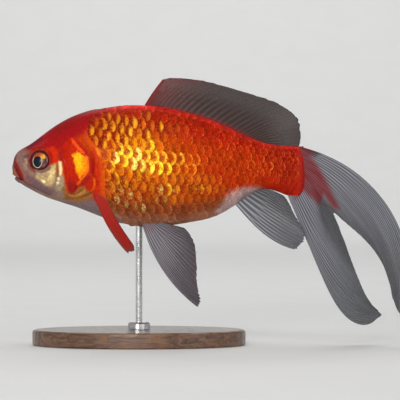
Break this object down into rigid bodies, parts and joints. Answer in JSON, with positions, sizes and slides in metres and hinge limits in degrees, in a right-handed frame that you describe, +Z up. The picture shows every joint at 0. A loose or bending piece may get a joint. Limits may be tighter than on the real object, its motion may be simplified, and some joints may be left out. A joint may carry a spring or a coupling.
{
  "type": "goldfish",
  "caption": "Life-size goldfish with a long forked tail, held level by a steel rod on a flat oval display base.",
  "frame": {"origin": "middle of the underside of the stand's base, under the rod", "axes": "+Z up; the fish faces -X and is longest along X; its left side faces -Y"},
  "size_m": [0.178, 0.062, 0.1203],
  "materials": {
    "skin": "wet, metallic scales, red back and orange sides",
    "eye": "clear and wet over a gold and brown iris",
    "dorsal_fin": "smoky membrane with fine rays, red at the front",
    "pale_fin": "milky membrane with fine rays",
    "red_fin": "red rays with a pale edge",
    "base_wood": "satin varnish",
    "rod_steel": "brushed"
  },
  "bodies": {
    "root": {"head": "skin", "upper_jaw": "skin", "lower_jaw": "skin", "gill_cover_left": "skin", "gill_cover_right": "skin", "trunk": "skin", "tail_stem": "skin", "eye_left": "eye", "eye_right": "eye", "dorsal_fin": "dorsal_fin", "anal_fin": "pale_fin", "pelvic_fin_left": "pale_fin", "pelvic_fin_right": "pale_fin", "tail_fin_upper": "pale_fin", "tail_fin_lower": "pale_fin", "pectoral_fin_left": "red_fin", "pectoral_fin_right": "red_fin", "stand_base": "base_wood", "stand_rod": "rod_steel", "stand_collar": "rod_steel"}
  },
  "joints": []
}
